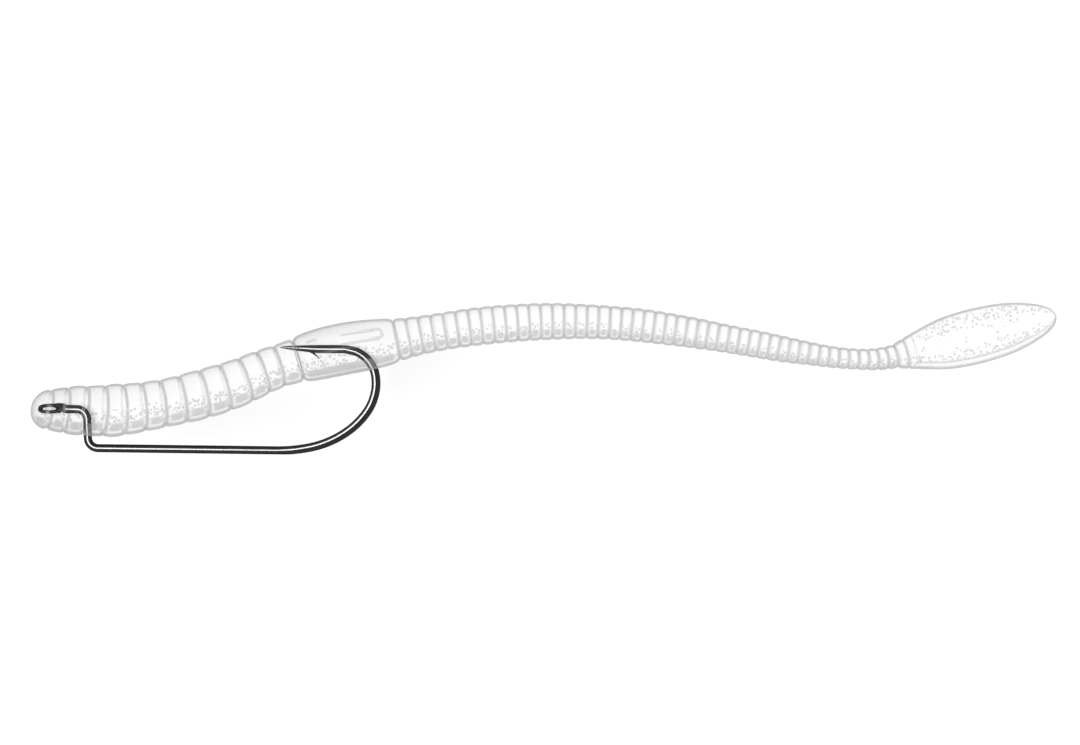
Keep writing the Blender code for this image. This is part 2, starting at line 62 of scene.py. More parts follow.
# The worm's centre line seen from above, from the nose tip to the paddle's tip.
CENTRE_LINE = (
    (-87.45, -5.1), (-79.7, -5.4), (-73.2, -5.4), (-66.5, -4.5), (-60.0, -3.1),
    (-52.7, -0.9), (-46.7, 1.6), (-42.0, 3.15), (-34.5, 5.0), (-27.7, 6.1),
    (-20.4, 7.5), (-12.9, 8.7), (-5.2, 9.45), (5.1, 9.75), (14.5, 9.25),
    (23.0, 8.15), (34.9, 6.1), (43.4, 4.55), (51.9, 3.4), (56.4, 3.3),
    (60.4, 3.9), (73.2, 7.1), (87.45, 10.7),
)
LINE_SAMPLES = 1500
FINE_SAMPLES = 40
AXIS_STEP = 0.6

# Radius over the ring crests, as (distance from the nose tip along the centre line, radius).
CREST_RADIUS = (
    (3.4, 3.6), (5.0, 3.85), (8.0, 4.3), (11.0, 4.4), (14.5, 4.6), (17.9, 4.4), (24.0, 4.2),
    (28.0, 4.3), (32.0, 4.3), (36.0, 4.15), (39.0, 4.0), (44.5, 3.8), (50.5, 4.35),
    (54.5, 4.45), (61.0, 4.15), (65.0, 3.65), (81.0, 3.35), (90.0, 3.25), (98.5, 3.02),
    (107.0, 2.95), (113.0, 2.8), (120.0, 2.55), (129.0, 2.4), (137.5, 2.0), (143.0, 1.9),
    (150.0, 2.15),
)
SKIN_INSET = 0.08

# The head's axis is level. Behind the saddle the axis sinks until the tail rests on the table.
HEAD_AXIS_Z = 4.62
AXIS_LOWERS_FROM = 59.0
AXIS_LOWERS_TO = 82.0
TABLE_CLEARANCE = 0.03

# Along the head: how far a section's back leans towards the tail, as a share of its radius,
# and how far the whole section lies towards the tail.
HEAD_LEAN = (
    (0.0, 0.08, 0.03), (1.5, 0.08, 0.0), (3.4, 0.08, -0.25), (16.0, 0.08, -0.35),
    (26.0, 0.06, -0.2), (42.0, 0.05, -0.1), (47.0, 0.0, 0.0),
)

# The moulded sections, from nose to tail.
NOSE_TIP = 0.05
NOSE_TIP_RADIUS = 0.001
NOSE_LENGTH = 3.45
NOSE_RADIUS = 3.45
NOSE_POWER = 2.2
NOSE_ROUNDING = 10
NOSE_PLAIN = 0.1
NOSE_PLAIN_FADE = 0.3
NOSE_ROWS = 18
HEAD_RING_LENGTHS = (3.0, 3.3, 3.2, 3.3, 3.3, 3.3, 3.4, 3.8, 3.7, 3.7, 3.2, 2.8, 3.3)
SADDLE_LENGTH = 17.15
SADDLE_END_RADII = (3.1, 3.2)
SADDLE_ROWS = 64
SADDLE_CROWDING = 0.055
SADDLE_SHOULDER = 1.6
SADDLE_POWER = 2.6
TAIL_RING_COUNT = 46
TAIL_RING_FIRST = 2.12
TAIL_RING_LAST = 1.61
SAME_PLACE = 0.01

# A kind of ring: its groove's depth, its rows, how square its crest is, how far its crest drops at
# its edges, and its patch of painted shade towards the belly, as blob() takes it.
HEAD_RING = {"depth": 0.5, "rows": 18, "bulge": 8.0, "crown": 0.12, "patch": (0.47, 0.8, 0.62)}
TAIL_RING = {"depth": 0.34, "rows": 12, "bulge": 4.0, "crown": 0.1, "patch": (0.38, 0.77, 0.4)}
# The saddle's patch of painted shade, and how far it keeps from the saddle's ends.
SADDLE_PATCH = (0.52, 0.84, 0.4)
SADDLE_PATCH_CLEAR = 0.5

# A patch of painted shade: its round corners, and its softness along the worm and at its two other
# edges.
PATCH_ROUNDING = 0.7
PATCH_FADE = 0.16
PATCH_BACK_FADE = 0.07
PATCH_BELLY_FADE = 0.05

# Flecks, which thicken from the middle towards the belly as painted shade, end at a clear strip and
# keep off grooves.
SPECKS_FROM = 0.12
SPECKS_THICKEN = 0.32
SPECKS_TO = -0.8
SPECKS_END_FADE = 0.06
SPECKS_CLEAR = 0.25
SPECKS_FADE = 0.15

# How far the grooves bow towards the tail at the worm's top and bottom, more so at the last rings.
HEAD_BOW = 0.2
TAIL_BOW = 0.15
END_BOW = 0.35
END_BOW_AFTER = 34

# Painted shade lines in the grooves and along the outline: half their width, how much wider at the
# belly, and the softness of their edge.
LINE_HALF = 0.2
LINE_BELLY_HALF = 0.08
LINE_FADE = 0.14
OUTLINE_BELLY = 0.47
OUTLINE_BACK = 0.37

# The saddle's recess with painted shade lines round it, and the short dark mark in front of it, as
# their ends seen from above.
RECESS = ((-34.9, 6.5), (-28.35, 7.6))
RECESS_HALF_WIDTH = 0.8
RECESS_FLOOR_HALF = 0.45
RECESS_DEPTH = 0.75
RECESS_RUN_IN = 0.25
RECESS_OPEN_END = 0.02
RECESS_LINE_RUN_IN = 0.1
MARK = ((-40.3, 6.1), (-38.9, 6.55))
MARK_HALF = 0.12
UPPER_FACE = 0.3

# The flat paddle: half its width by distance from its root, and its root's shallow grooves.
PADDLE_HALF_WIDTH = (
    (0.0, 2.2), (2.15, 2.9), (5.4, 3.8), (8.6, 4.55), (12.8, 4.95), (16.8, 4.9),
    (20.7, 4.5), (24.6, 3.5), (27.3, 2.3), (28.5, 1.3), (28.98, 0.5),
)
PADDLE_NARROWED = 0.971
PADDLE_THICKNESS = 1.8
PADDLE_TIP_BACK = 0.03
PADDLE_TIP_HEIGHT = 2.2
PADDLE_FLAT_AT = 7.0
PADDLE_ROWS = 64
PADDLE_CROWDING = 1.3
PADDLE_SQUARENESS = 0.6
PADDLE_FACE = 0.25
TAPER_STEP = 0.05
ROOT_LENGTH = 4.4
ROOT_STEP = 0.11
ROOT_GROOVES = ((0.0, 0.34), (1.85, 0.26), (3.5, 0.08))
ROOT_GROOVE_HALF = 0.9
ROOT_LINE_DEPTH = 0.25
ROOT_LINE_END = -0.8
ROOT_BOW = 0.6
ROOT_BOW_ENDS = 8
ROOT_SPECKS = 0.6

# The paddle's bevel on its belly and back side, the thickness at which it starts, and the painted
# shade line along its crease.
BELLY_BEVEL = 1.0
BACK_BEVEL = 0.3
BEVEL_FROM = 0.3
CREASE_AT = 0.8
CREASE_HALF = 0.04
CREASE_FADE = 0.06
CREASE_DARKNESS = 0.9
# The paddle's face: where it starts, its milkiness, its inset, where its flecks start and thicken,
# and the lower face, on which the painted shade lines are weaker.
FACE_FROM = 0.93
FACE_MILK = 0.1
FACE_INSET = 0.9
FACE_SPECKS_FROM = 0.2
FACE_SPECKS_THICKEN = 0.5
LOWER_FACE = -0.5
LOWER_FACE_SHADE = 0.3

# The skin's pieces: the sections that they start at, and how many tail rings each holds.
HEAD_CUTS = ("nose", "head_ring_07", "saddle")
FIRST_TAIL_CUT = 3
RINGS_IN_PIECE = 4

# The clear plastic: its milky grey, the grey of its flecks and painted shade, and how much each
# coat hides.
MILKY_GREY = 0.95
SHADE_AND_FLECK_GREY = 0.6
COAT_DENSITY = 0.85
# The film is painted grey as shade where it is seen edge-on: how strongly, and between which
# facings.
RIM_SHADE_DENSITY = 0.7
RIM_FROM = 0.5
RIM_TO = 0.9
HAZE_POWER = 2.0
HAZE_DENSITY = 0.45
MOST_DENSITY = 0.97
LIGHT_PASSING = 0.65
PLASTIC_ROUGHNESS = 0.4
FLECK_SCALE = 1.85
FLECK_RADIUS = 0.43
RIPPLE_SCALE = 1.6
RIPPLE_STRENGTH = 0.25
RIPPLE_HEIGHT = 0.06 * MM
SHEEN_ROUGHNESS = 0.22
SHEEN_IOR = 1.16

# Black nickel, its polish and its colour a little uneven.
NICKEL_GRAIN = 900.0
NICKEL_ROUGHNESS = (0.19, 0.26)
NICKEL_COLOURS = ((0.028, 0.028, 0.03, 1), (0.045, 0.044, 0.045, 1))
NICKEL_TINT = 0.12

# The hook, from its eye to its point. Pairs of radii are (in the hook's plane, across it).
WIRE_RADIUS = 0.7
WIRE_SIDES = 32
SHARP_EDGE = math.radians(60)
FORGED_RADII = (0.8, 0.62)
EYE_CENTRE = (-84.15, -5.1)
EYE_LOOP_RADIUS = 1.58
EYE_TILT = math.radians(17)
EYE_ENDS_AT = (-14, -325)
EYE_ROWS = 56
EYE_SPREAD = 0.55
EYE_SPREAD_POWER = 0.55
EYE_WIRE_RADII = (0.27, 0.42)
EYE_ROOT_RADII = (0.52, 0.58)
EYE_SWELLS_FROM = 285
EYE_SWELLS_OVER = 40
EYE_THINS_BEFORE = 44
EYE_THINS_OVER = 30
NECK_Y = -5.2
NECK_LENGTH = 1.5
NECK_ROWS = 8
NECK_SWELL = 0.1
LEG_X = (-77.82, -77.68)
LEG_LEAN = 2.5
OFFSET_BEND_RADIUS = 1.75
OFFSET_BEND_ROWS = 16
SHANK_FRONT_Y = -11.82
HOOK_BEND = (
    (-45.3, -12.2), (-43.3, -12.16), (-41.35, -11.95), (-38.58, -11.38), (-34.96, -9.86),
    (-31.75, -7.45), (-29.37, -4.06), (-28.7, -0.7), (-29.08, 1.53), (-30.23, 3.31),
    (-31.9, 4.5), (-34.0, 5.01),
)
HOOK_BEND_ROWS = 90
POINT_START_X = -38.3
POINT_TIP = (-45.05, 5.33)
POINT_ROWS = 22
POINT_POWER = 0.55
POINT_TIP_RADIUS = 0.025
BARB_ROOT = (-40.6, 4.95)
BARB_REACH = (2.35, -1.62)
BARB_CURVE = 1.6
BARB_RADIUS = 0.36
BARB_POWER = 0.9
BARB_TIP_RADIUS = 0.02
BARB_ROWS = 14
BARB_SIDES = 16

# The stage. The floor lies far enough below for the tail to bend down without meeting it.
FLOOR_HALF = 3.0
FLOOR_DROP = 0.08
FLOOR_GREY = 0.95
FLOOR_ROUGHNESS = 0.9
FLOOR_SHINE = 0.1
# The studio's brightness by height, as (sine of the angle above the horizon, level).
WORLD_LEVELS = (
    (-0.35, 0.25), (-0.06, 1.03), (0.12, 1.03), (0.35, 0.85), (0.75, 0.85), (0.93, 0.12),
)
# A lamp: its strength, the angle that it fills, and where it shines from.
OVERHEAD = (1.6, math.radians(12), (-0.09, -0.01, 1.0))
SOFTBOX = (7.6, math.radians(37), (-0.28, 0.02, 1.0))
VIEW_CENTRE = (-0.00083, 0.00104, 0.0046)
VIEW_WIDTH = 0.1836
LENS = 135
SENSOR_WIDTH = 36


def smooth_through(stations, sample):
    """Values of a smooth curve through stations whose first number is the position."""
    rows = np.array(stations, dtype=float)
    at, values = rows[:, 0], rows[:, 1:]
    slopes = np.gradient(values, at, axis=0)
    sample = np.clip(np.atleast_1d(np.asarray(sample, dtype=float)), at[0], at[-1])
    left = np.clip(np.searchsorted(at, sample, side="right") - 1, 0, len(at) - 2)
    width = (at[left + 1] - at[left])[:, None]
    t = ((sample - at[left]) / (at[left + 1] - at[left]))[:, None]
    start = (1 + 2 * t) * (1 - t) ** 2 * values[left]
    start_slope = t * (1 - t) ** 2 * width * slopes[left]
    end = t**2 * (3 - 2 * t) * values[left + 1]
    end_slope = t**2 * (t - 1) * width * slopes[left + 1]
    return start + start_slope + end + end_slope


def lengths_along(points):
    """Distance of each point from the first, along the line through them all."""
    steps = np.linalg.norm(np.diff(points, axis=0), axis=1)
    return np.concatenate(([0.0], np.cumsum(steps)))


def smooth_path(points, count):
    """Evenly parted points on a smooth curve through the given ones."""
    points = np.array(points, dtype=float)
    chord = lengths_along(points)
    stations = np.column_stack((chord, points))
    fine = smooth_through(stations, np.linspace(0, chord[-1], FINE_SAMPLES * count))
    length = lengths_along(fine)
    even = np.linspace(0, length[-1], count)
    return np.column_stack([np.interp(even, length, axis) for axis in fine.T])


def eased(share):
    """Shares held from 0 to 1, with a smooth start and finish."""
    t = np.clip(share, 0, 1)
    return t * t * (3 - 2 * t)


def spans(start, lengths):
    """The (start, end) of stretches that follow each other."""
    edges = start + np.concatenate(([0.0], np.cumsum(lengths)))
    return [(float(a), float(b)) for a, b in zip(edges, edges[1:])]


def arc(middle, radius, start, finish, count):
    """Points on an arc seen from above, angles in degrees."""
    x, y = middle
    angles = np.radians(np.linspace(start, finish, count))
    return [(x + radius * math.cos(a), y + radius * math.sin(a)) for a in angles]


LINE_POINTS = smooth_path(CENTRE_LINE, LINE_SAMPLES)
LINE_DISTANCES = lengths_along(LINE_POINTS)
HEAD_RINGS = spans(NOSE_LENGTH, HEAD_RING_LENGTHS)
SADDLE = (HEAD_RINGS[-1][1], HEAD_RINGS[-1][1] + SADDLE_LENGTH)
TAIL_RINGS = spans(SADDLE[1], np.linspace(TAIL_RING_FIRST, TAIL_RING_LAST, TAIL_RING_COUNT))
PADDLE_START = TAIL_RINGS[-1][1]

# Round a section, BACK is 1 at the worm's back and -1 at its belly. RISE is 1 at its top, which
# faces the viewer, and -1 where it faces the table.
SIDES = 80
TURNS = np.linspace(0, 2 * math.pi, SIDES, endpoint=False)
BACK = np.cos(TURNS)
RISE = np.sin(TURNS)


def under(level, fade):
    """Round a section: 0 above a level, and 1 once so far below it."""
    return eased((level - RISE) / fade)


# Painted shade lines are wider on the belly's half of a section.
BELLY = eased((-BACK - 0.1) / 0.9)

# The painted shade and the flecks lie mostly in the wall that faces the table, so that the hook
# shows through the top. These are their strengths round a section: in the painted shade patches,
# the painted shade lines in the grooves, the flecks, the painted shade outline and the milkiness.
LOW_WALL_SHADE = 0.3 + 0.7 * under(0.3, 0.6)
LINED = 0.3 + 0.6 * under(0.85, 0.5) + 0.1 * under(0.3, 0.6)
FLECKED = under(0.15, 0.3)
OUTLINED = 0.4 + 0.55 * under(0.4, 0.5)
MILK = 0.015 + 0.3 * under(0.75, 0.6) + 0.42 * under(0.1, 0.5)


class Skin:
    """Rows of points round the worm, with what the material needs at each point."""

    def __init__(self):
        self.points = []
        self.looks = {"tint": [], "cloud": [], "pepper": [], "milk": []}

    def add(self, points, **looks):
        """Adds a row; a look that isn't given is 0 all round."""
        self.points.append(points)
        for name, rows in self.looks.items():
            rows.append(np.broadcast_to(looks.get(name, 0.0), SIDES))


def crest_radius(distance):
    """Radius over the ring crests at each distance from the nose tip."""
    return smooth_through(CREST_RADIUS, distance)[:, 0]


def groove_radius(distance, depth):
    """Radius in a groove, which is given at the two ends of the saddle."""
    for end, radius in zip(SADDLE, SADDLE_END_RADII):
        if abs(distance - end) < SAME_PLACE:
            return radius
    return crest_radius(distance)[0] - depth


def leaning(distance, radius):
    """How far each point of a section lies along the centre line from its own distance."""
    lean, offset = smooth_through(HEAD_LEAN, distance)[0]
    return lean * radius * BACK + offset


def centres(distance):
    """Centre line points, one row for each distance from the nose tip."""
    distance = np.atleast_1d(np.asarray(distance, dtype=float))
    x, y = (np.interp(distance, LINE_DISTANCES, axis) for axis in LINE_POINTS.T)
    lowered = eased((distance - AXIS_LOWERS_FROM) / (AXIS_LOWERS_TO - AXIS_LOWERS_FROM))
    resting = crest_radius(distance) + TABLE_CLEARANCE
    return np.column_stack((x, y, HEAD_AXIS_Z + lowered * (resting - HEAD_AXIS_Z)))


def axes_at(distance):
    """Unit vectors along the worm, across it towards its back, and up, at each distance."""
    along = centres(distance + AXIS_STEP) - centres(distance - AXIS_STEP)
    along /= np.linalg.norm(along, axis=1)[:, None]
    across = np.column_stack((-along[:, 1], along[:, 0], np.zeros(len(along))))
    across /= np.linalg.norm(across, axis=1)[:, None]
    return along, across, np.cross(along, across)


def row_of(distance, radius, shift=0.0):
    """One ring of points about the centre line, shifted along it by so much at each turn."""
    along, across, up = (axis[0] for axis in axes_at(np.array([distance])))
    middle = centres(distance)[0]
    around = BACK[:, None] * across + RISE[:, None] * up
    return middle + np.reshape(radius, (-1, 1)) * around + np.reshape(shift, (-1, 1)) * along


def line_at(near):
    """How dark the painted shade line in a groove is, so far from the groove; it widens towards the
    belly.
    """
    edge = LINE_HALF + LINE_BELLY_HALF * BELLY
    return 1 - eased((near - edge) / LINE_FADE)


def outline_at(inward):
    """The darker line of painted shade so far in from where the worm's side stands upright."""
    edge = np.where(BACK < 0, OUTLINE_BELLY, OUTLINE_BACK)
    return 1 - eased((inward - edge) / LINE_FADE)


def blob(near, low, high, inset):
    """Painted shade low in a section: a patch with round corners, clear of its outline.

    It lies between two shares of the radius towards the belly, and so far in from a groove.
    """
    off = np.clip(np.abs(-BACK - (low + high) / 2) / ((high - low) / 2), 0, 1)
    edge = inset * (1 + PATCH_ROUNDING * off**3)
    sideways = eased((near - edge) / PATCH_FADE)
    at_back = eased((-BACK - low) / PATCH_BACK_FADE)
    return sideways * at_back * eased((high + BACK) / PATCH_BELLY_FADE)


def specks(near):
    """The share of flecks, thicker towards the belly as painted shade, with none in the clear strip
    below the patch of painted shade.
    """
    level = eased((SPECKS_FROM - BACK) / SPECKS_THICKEN)
    level *= eased((BACK - SPECKS_TO) / SPECKS_END_FADE)
    return eased((near - SPECKS_CLEAR) / SPECKS_FADE) * level


def add_section(skin, distance, radius, near, cloud, shift=0.0, share=1.0):
    """A row of the round body, so near to its closest groove."""
    radius = np.broadcast_to(radius, SIDES)
    # Painted shade: the outline near the upright side, the lines in the grooves and the patch
    # towards the belly.
    outline = outline_at(radius * (1 - np.abs(BACK))) * OUTLINED
    skin.add(
        row_of(distance, radius, shift + leaning(distance, radius)),
        tint=np.maximum(line_at(near) * LINED, outline) * share,
        cloud=cloud * LOW_WALL_SHADE * share,
        pepper=specks(near) * FLECKED * share,
        milk=MILK,
    )


def nose_rows(skin):
    """The rows of the blunt nose cap, from its tip up to the first groove."""
    skin.add(row_of(NOSE_TIP, np.full(SIDES, NOSE_TIP_RADIUS)), milk=MILK)
    groove = groove_radius(NOSE_LENGTH, HEAD_RING["depth"])
    for step in range(1, NOSE_ROWS):
        t = 1 - math.cos(math.pi / 2 * step / NOSE_ROWS)
        distance = NOSE_TIP + (NOSE_LENGTH - NOSE_TIP) * t
        radius = NOSE_RADIUS * (1 - (1 - t) ** 2) ** (1 / NOSE_POWER)
        if t > 0.5:
            rounding = (1 - t**NOSE_ROUNDING) ** 0.5
            radius = groove * t + (radius - groove * t) * rounding
        near = NOSE_LENGTH - distance
        cloud = blob(near, *HEAD_RING["patch"])
        share = eased((t - NOSE_PLAIN) / NOSE_PLAIN_FADE)
        add_section(skin, distance, radius, near, cloud, share=share)


def ring_rows(skin, span, bow, depth, rows, bulge, crown, patch):
    """The rows of one moulded ring, from its front groove up to its rear one."""
    front, rear = span
    first, last = groove_radius(front, depth), groove_radius(rear, depth)
    for step in range(rows):
        t = (1 - math.cos(math.pi * step / rows)) / 2
        distance = front + t * (rear - front)
        groove = first + t * (last - first)
        off = abs(2 * t - 1)
        crest = crest_radius(distance)[0] - SKIN_INSET - crown * off**2
        radius = groove + (crest - groove) * (1 - off**bulge) ** 0.5
        near = min(t, 1 - t) * (rear - front)
        add_section(skin, distance, radius, near, blob(near, *patch), bow * RISE**2)


def beside(points, ends):
    """Distance of points from a line seen from above, and each one's share of the way along."""
    start, end = (np.array(end) for end in ends)
    reach = end - start
    share = np.clip((points[:, :2] - start) @ reach / reach.dot(reach), 0, 1)
    gap = np.linalg.norm(points[:, :2] - start - share[:, None] * reach, axis=1)
    return gap, share


def press_recess(points):
    """Presses the recess into the saddle's upper face; gives the painted shade lines round it and
    the short dark mark.
    """
    upward = RISE > UPPER_FACE
    gap, share = beside(points, RECESS)
    wall = eased((gap - RECESS_FLOOR_HALF) / (RECESS_HALF_WIDTH - RECESS_FLOOR_HALF))
    depth = RECESS_DEPTH * (1 - wall) * eased(share / RECESS_RUN_IN)
    points[:, 2] -= np.where(upward, depth, 0)
    rim_shade = 1 - eased((np.abs(gap - RECESS_HALF_WIDTH) - MARK_HALF) / LINE_FADE)
    rim_shade = rim_shade * eased((share - RECESS_OPEN_END) / RECESS_LINE_RUN_IN)
    mark = 1 - eased((beside(points, MARK)[0] - MARK_HALF) / LINE_FADE)
    return np.where(upward, np.maximum(rim_shade, mark), 0)


def saddle_rows(skin):
    """The rows of the smooth saddle, closer together at its two ends."""
    front, rear = SADDLE
    for step in range(SADDLE_ROWS):
        t = step / SADDLE_ROWS
        t -= SADDLE_CROWDING * math.sin(2 * math.pi * t)
        distance = front + t * (rear - front)
        crest = crest_radius(distance)[0]
        groove = SADDLE_END_RADII[0] if t < 0.5 else SADDLE_END_RADII[1]
        near = min(distance - front, rear - distance)
        height = (1 - (1 - min(near / SADDLE_SHOULDER, 1)) ** SADDLE_POWER) ** 0.5
        cloud = blob(near - SADDLE_PATCH_CLEAR, *SADDLE_PATCH)
        add_section(skin, distance, groove + (crest - groove) * height, near, cloud)
        # The painted shade lines round the recess and the dark mark join the other painted shade
        # lines.
        edge = press_recess(skin.points[-1])
        skin.looks["tint"][-1] = np.maximum(skin.looks["tint"][-1], edge)


def half_width(along):
    """Half the paddle's width so far from its root."""
    return PADDLE_NARROWED * smooth_through(PADDLE_HALF_WIDTH, along)[0, 0]


def paddle_distances(reach):
    """Where the paddle's rows lie along it: close together at its root and towards its tip."""
    root = np.arange(0, ROOT_LENGTH, ROOT_STEP)
    crowded = 1 - (1 - np.linspace(0, 1, PADDLE_ROWS)) ** PADDLE_CROWDING
    blade = ROOT_LENGTH + (reach - PADDLE_TIP_BACK - ROOT_LENGTH) * crowded
    return np.concatenate((root, blade))


def root_grooves(along):
    """How deep the root's grooves are at a distance, and how dark their painted shade lines are."""
    dip, lined = 0.0, 0.0
    for at, depth in ROOT_GROOVES:
        near = abs(along - at)
        wall = (1 - (1 - min(near / ROOT_GROOVE_HALF, 1)) ** 4) ** 0.5
        dip += depth * (1 - wall)
        line = line_at(near) * min(1, depth / ROOT_LINE_DEPTH) * (BACK > ROOT_LINE_END)
        lined = np.maximum(lined, line)
    return dip, lined


def paddle_rows(skin):
    """The rows of the flat paddle, whose root still carries the last shallow grooves.

    Across a section, u runs from its belly edge to its back edge and v from its lower face to
    its upper one, both from -1 to 1. The section turns from round to flat along the root.
    """
    start = centres(PADDLE_START)[0]
    start[2] = 0
    reach = PADDLE_HALF_WIDTH[-1][0]
    direction = (np.array([*LINE_POINTS[-1], 0.0]) - start) / reach
    across = np.array([-direction[1], direction[0], 0])
    root_height = 2 * (crest_radius(PADDLE_START)[0] + TABLE_CLEARANCE)
    for along in paddle_distances(reach):
        half = half_width(along)
        flat = float(eased(along / PADDLE_FLAT_AT))
        height = root_height + flat * (PADDLE_THICKNESS - root_height)
        height = min(height, PADDLE_TIP_HEIGHT * half)
        dip, lined = root_grooves(along)
        power = 1 - PADDLE_SQUARENESS * flat
        u = np.sign(BACK) * np.abs(BACK) ** power
        v = np.sign(RISE) * np.abs(RISE) ** power
        raised = np.clip((1 + (1 + PADDLE_FACE * flat) * v) / 2, 0, 1)
        bevel = np.where(u < 0, BELLY_BEVEL, BACK_BEVEL)
        inset = bevel * flat * np.maximum(raised - BEVEL_FROM, 0) / (1 - BEVEL_FROM)
        side = u * (np.maximum(half - inset, half / 4) - dip)
        bow = ROOT_BOW * RISE**2 * (1 - float(eased(along / ROOT_BOW_ENDS)))
        points = start + (along + bow)[:, None] * direction + side[:, None] * across
        points[:, 2] += height / 2 + (raised - 0.5) * (height - 2 * dip)
        # Painted shade: a line along the belly-side crease, and the outline along the edges.
        crease = 1 - eased((np.abs(v - CREASE_AT) - CREASE_HALF) / CREASE_FADE)
        crease = np.where((u < 0) & (v > 0), crease, 0)
        widening = half_width(along + TAPER_STEP) - half_width(along - TAPER_STEP)
        inward = (half - np.abs(side)) / math.hypot(1, widening / (2 * TAPER_STEP))
        edges = np.maximum(outline_at(inward), CREASE_DARKNESS * crease * flat)
        on_face = eased((raised - FACE_FROM) / (1 - FACE_FROM)) * flat
        outward = np.abs(side) / (half - FACE_INSET * bevel * flat)
        pepper = on_face * eased((outward - FACE_SPECKS_FROM) / FACE_SPECKS_THICKEN)
        skin.add(
            points,
            tint=np.maximum(edges * np.where(v > LOWER_FACE, 1, LOWER_FACE_SHADE), lined * LOW_WALL_SHADE),
            pepper=np.maximum(pepper, specks(0.5) * (1 - flat) * ROOT_SPECKS),
            milk=MILK + (FACE_MILK - MILK) * on_face,
        )


def whole_skin():
    """Every row of the worm's surface with the row numbers at which its sections start."""
    skin = Skin()
    starts = {"nose": 0}
    nose_rows(skin)
    for number, span in enumerate(HEAD_RINGS, start=1):
        starts[f"head_ring_{number:02d}"] = len(skin.points)
        ring_rows(skin, span, HEAD_BOW, **HEAD_RING)
    starts["saddle"] = len(skin.points)
    saddle_rows(skin)
    for number, span in enumerate(TAIL_RINGS, start=1):
        starts[f"tail_ring_{number:02d}"] = len(skin.points)
        at_end = max(0, (number - END_BOW_AFTER) / (TAIL_RING_COUNT - END_BOW_AFTER))
        ring_rows(skin, span, TAIL_BOW + END_BOW * at_end, **TAIL_RING)
    starts["paddle_tail"] = len(skin.points)
    paddle_rows(skin)
    starts["end"] = len(skin.points) - 1
    return skin, starts


def put_in_scene(name, data):
    """A new object in the scene."""
    placed = bpy.data.objects.new(name, data)
    bpy.context.scene.collection.objects.link(placed)
    return placed


def tube_mesh(name, rings):
    """A smooth closed mesh through rings of points: its sides, then its first and last cap."""
    count, sides = rings.shape[:2]
    faces = []
    for i in range(count - 1):
        for j in range(sides):
            k = (j + 1) % sides
            faces.append((i * sides + j, i * sides + k, (i + 1) * sides + k, (i + 1) * sides + j))
    faces.append(tuple(range(sides))[::-1])
    faces.append(tuple(range((count - 1) * sides, count * sides)))
    mesh = bpy.data.meshes.new(name)
    mesh.from_pydata([tuple(point) for point in rings.reshape(-1, 3) * MM], [], faces)
    shape = bmesh.new()
    shape.from_mesh(mesh)
    bmesh.ops.recalc_face_normals(shape, faces=shape.faces)
    shape.to_mesh(mesh)
    shape.free()
    mesh.shade_smooth()
    return mesh


def skin_piece(name, skin, starts, first, last, materials):
    """A piece of skin between two rows, closed by a clear cap at each cut end."""
    rows = slice(first, last + 1)
    points = np.array(skin.points[rows])
    mesh = tube_mesh(name, points)
    for material in materials:
        mesh.materials.append(material)
    kinds = [0] * len(mesh.polygons)
    kinds[-2] = 0 if first == 0 else 1
    kinds[-1] = 0 if last == starts["end"] else 1
    mesh.polygons.foreach_set("material_index", kinds)
    for label, values in skin.looks.items():
        layer = mesh.attributes.new(label, "FLOAT", "POINT")
        layer.data.foreach_set("value", np.array(values[rows], np.float32).ravel())
    rest = mesh.attributes.new("rest", "FLOAT_VECTOR", "POINT")
    rest.data.foreach_set("vector", points.astype(np.float32).ravel())
    return put_in_scene(name, mesh)


def section_nodes(starts, first, last):
    """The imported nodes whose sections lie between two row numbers."""
    found = []
    for name in frame["nodes"]:
        if name == "hook":
            continue
        key = "tail_ring_" + name.split("_")[2] if name.startswith("tail_rings") else name
        if first <= starts[key] < last:
            found.append(name)
    return found


def blend_over(piece, joint):
    """Finds the worm's direction nearest a joint, which nothing uses, and bakes the piece's place
    into its mesh.
    """
    place = np.array(joint["pos_m"]) / MM
    nearest = np.argmin(np.linalg.norm(LINE_POINTS - place[:2], axis=1))
    along = axes_at(LINE_DISTANCES[nearest:nearest + 1])[0][0]
    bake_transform(piece)


def make_skin(materials):
    """The worm's skin, one piece to each joint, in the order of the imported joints."""
    skin, starts = whole_skin()
    tail_cuts = range(FIRST_TAIL_CUT, TAIL_RING_COUNT - 1, RINGS_IN_PIECE)
    cuts = [*HEAD_CUTS, *(f"tail_ring_{number:02d}" for number in tail_cuts), "end"]
    names = ["nose_skin", "head_skin", "saddle_skin"]
    names += [f"tail_skin_{number:02d}" for number in range(1, len(cuts) - 3)]
    for name, joint, front, rear in zip(names, frame["joints"], cuts, cuts[1:]):
        first, last = starts[front], starts[rear]
        piece = skin_piece(name, skin, starts, first, last, materials)
        blend_over(piece, joint)
        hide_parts(*section_nodes(starts, first, last))


def eye_rows():
    """The rows of the hook's ring eye, of flattened wire that swells where it meets the neck."""
    rows = []
    for turn in np.radians(np.linspace(*EYE_ENDS_AT, EYE_ROWS)):
        x = EYE_LOOP_RADIUS * math.cos(turn)
        z = -EYE_LOOP_RADIUS * math.sin(turn) * math.cos(EYE_TILT)
        y = math.copysign(EYE_SPREAD * abs(math.sin(turn)) ** EYE_SPREAD_POWER, math.sin(turn))
        degrees = -math.degrees(turn)
        swelling = eased((degrees - EYE_SWELLS_FROM) / EYE_SWELLS_OVER)
        thinning = eased((EYE_THINS_BEFORE - degrees) / EYE_THINS_OVER)
        swell = float(max(swelling, thinning))
        radii = [thin + swell * (full - thin) for thin, full in zip(EYE_WIRE_RADII, EYE_ROOT_RADII)]
        rows.append((EYE_CENTRE[0] + x, EYE_CENTRE[1] + y, HEAD_AXIS_Z + z, *radii))
    return rows


